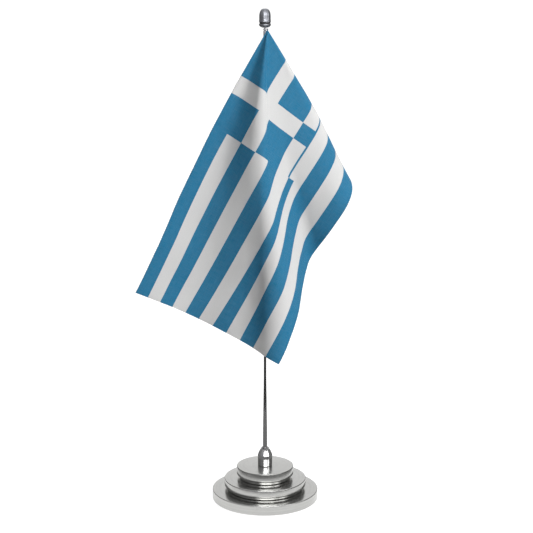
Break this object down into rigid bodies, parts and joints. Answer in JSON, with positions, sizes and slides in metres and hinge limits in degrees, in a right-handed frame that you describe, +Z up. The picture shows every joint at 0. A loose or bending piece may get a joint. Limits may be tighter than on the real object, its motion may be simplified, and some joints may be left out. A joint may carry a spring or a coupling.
{
  "type": "desk flag stand",
  "caption": "Small desk flag stand: stacked round steel base, slender tapered pole with a screwed finial, and a cross-and-stripe cloth flag hanging from one corner.",
  "frame": {"origin": "centre of the felt pad's underside, on the pole's axis", "axes": "+Z up the pole; +X to the right and +Y away, seen from the side that the flag's front faces"},
  "size_m": [0.188, 0.1061, 0.4361],
  "materials": {
    "brushed_steel": "satin, turned on a lathe",
    "polished_chrome": "polished",
    "dulled_finial": "dull grey plating",
    "ballast_iron": "as cast, turned",
    "zinc_plate": "zinc plated",
    "black_felt": "felt",
    "dark_nylon": "moulded",
    "dark_washer": "matte",
    "white_cord": "twisted cord",
    "plated_eyelet": "nickel plated",
    "flag_fabric": "printed polyester with a soft sheen"
  },
  "bodies": {
    "stand": {"base_felt_pad": "black_felt", "base_lower_tier": "brushed_steel", "base_middle_tier": "brushed_steel", "base_top_tier": "brushed_steel", "ballast_disc": "ballast_iron", "spring_washer": "zinc_plate", "flat_washer": "zinc_plate", "centre_bolt": "zinc_plate", "pole_socket": "polished_chrome"},
    "bush": {"grip_bush": "dark_nylon"},
    "pole": {"pole_rod": "polished_chrome", "pole_ferrule": "polished_chrome", "finial_collar": "dulled_finial", "finial_stud": "polished_chrome"},
    "clamp": {"clamp_washer": "dark_washer"},
    "cap": {"finial_cap": "dulled_finial"},
    "loop": {"hanging_loop": "white_cord"},
    "flag": {"flag_cloth": "flag_fabric", "corner_tab": "flag_fabric", "corner_eyelet": "plated_eyelet"}
  },
  "joints": [
    {"name": "pole_turn", "type": "hinge", "parent": "stand", "child": "bush", "pos_m": [0, 0, 0.0468], "axis": [0, 0, 1], "continuous": true},
    {"name": "pole_lift", "type": "slide", "parent": "bush", "child": "pole", "axis": [0, 0, 1], "range_m": [0, 0.02]},
    {"name": "cap_rise", "type": "slide", "parent": "pole", "child": "clamp", "axis": [0, 0, 1], "range_m": [0, 0.002]},
    {"name": "cap_turn", "type": "hinge", "parent": "clamp", "child": "cap", "pos_m": [0, 0, 0.4249], "axis": [0, 0, 1], "range_deg": [0, 1446]},
    {"name": "flag_turn", "type": "hinge", "parent": "pole", "child": "loop", "pos_m": [0, 0, 0.4188], "axis": [0, 0, 1], "continuous": true},
    {"name": "flag_swing", "type": "hinge", "parent": "loop", "child": "flag", "pos_m": [0.0021, -0.002, 0.4188], "axis": [-0.6897, -0.7241, 0], "range_deg": [0, 50]}
  ],
  "couplings": [
    {"joint": "cap_turn", "follows": "cap_rise", "rad_per_m": 12566}
  ]
}
